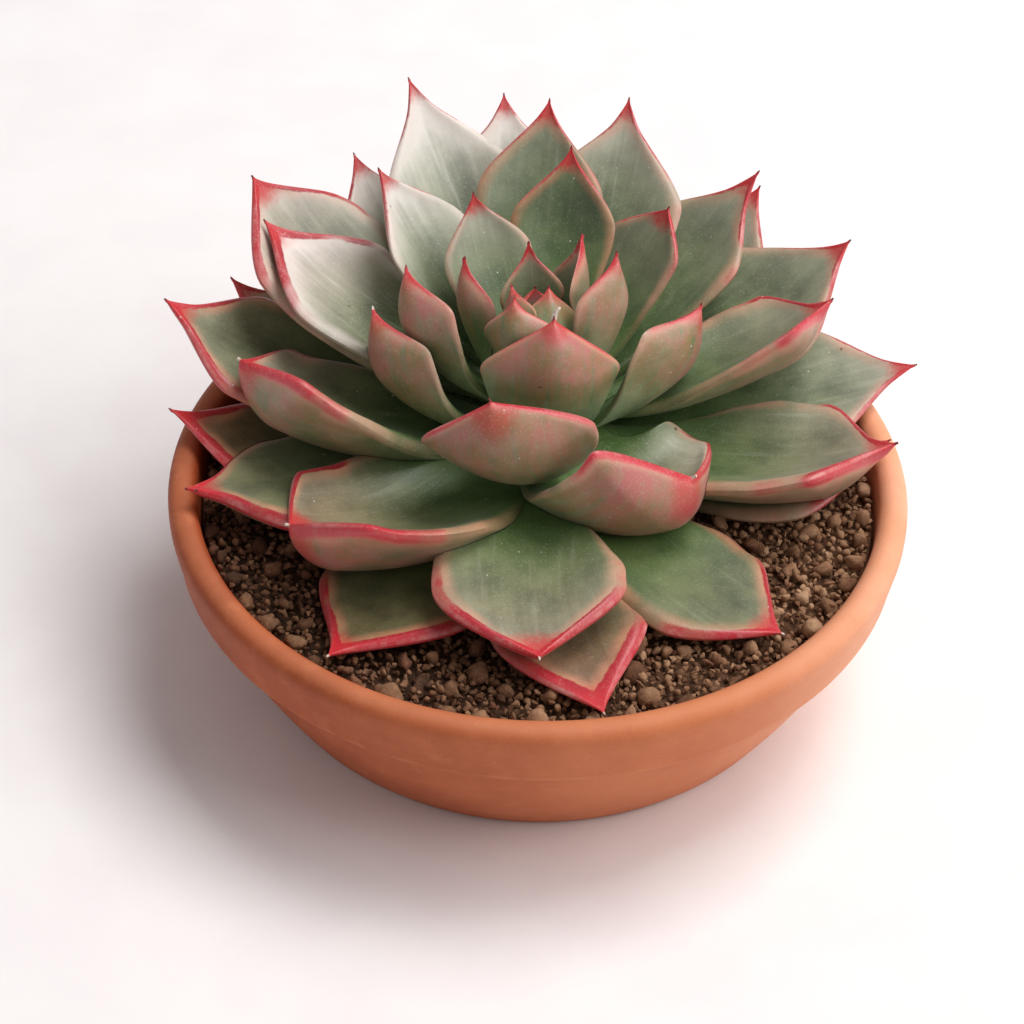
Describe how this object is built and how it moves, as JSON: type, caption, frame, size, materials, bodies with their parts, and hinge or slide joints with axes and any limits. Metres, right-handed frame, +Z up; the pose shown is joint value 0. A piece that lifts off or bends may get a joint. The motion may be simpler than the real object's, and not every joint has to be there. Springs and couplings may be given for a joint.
{
  "type": "potted orion echeveria",
  "caption": "Rosette succulent with broad, pointed, red-edged leaves, growing in a shallow round terracotta bowl of coarse grit.",
  "frame": {"origin": "the middle of the bowl's flat foot, on the surface it stands on", "axes": "+Z up along the bowl's axis; -Y towards the side it is usually seen from; +X to the right of that view"},
  "size_m": [0.1873, 0.1882, 0.109],
  "materials": {
    "terracotta": "unglazed, matte, fine grained",
    "grit": "loose brown granules, matte",
    "leaf": "fleshy, grey-green with a powdery bloom and red margins, satin",
    "stem": "fleshy, green-brown, matte"
  },
  "bodies": {
    "root": {"bowl": "terracotta", "grit": "grit", "heart_bud": "leaf", "leaf_ring1_1": "leaf", "leaf_ring1_10": "leaf", "leaf_ring1_2": "leaf", "leaf_ring1_3": "leaf", "leaf_ring1_4": "leaf", "leaf_ring1_5": "leaf", "leaf_ring1_6": "leaf", "leaf_ring1_7": "leaf", "leaf_ring1_8": "leaf", "leaf_ring1_9": "leaf", "leaf_ring2_1": "leaf", "leaf_ring2_2": "leaf", "leaf_ring2_3": "leaf", "leaf_ring2_4": "leaf", "leaf_ring2_5": "leaf", "leaf_ring2_6": "leaf", "leaf_ring2_7": "leaf", "leaf_ring2_8": "leaf", "leaf_ring2_9": "leaf", "leaf_ring3_1": "leaf", "leaf_ring3_2": "leaf", "leaf_ring3_3": "leaf", "leaf_ring3_4": "leaf", "leaf_ring3_5": "leaf", "leaf_ring3_6": "leaf", "leaf_ring3_7": "leaf", "leaf_ring4_1": "leaf", "leaf_ring4_2": "leaf", "leaf_ring4_3": "leaf", "leaf_ring4_4": "leaf", "leaf_ring4_5": "leaf", "leaf_ring5_1": "leaf", "leaf_ring5_2": "leaf", "leaf_ring5_3": "leaf", "leaf_ring5_4": "leaf", "leaf_ring5_5": "leaf", "leaf_ring5_6": "leaf", "leaf_ring6_1": "leaf", "leaf_ring6_2": "leaf", "leaf_ring6_3": "leaf", "leaf_ring7_1": "leaf", "leaf_ring7_2": "leaf", "leaf_ring7_3": "leaf", "stem": "stem"}
  },
  "joints": []
}
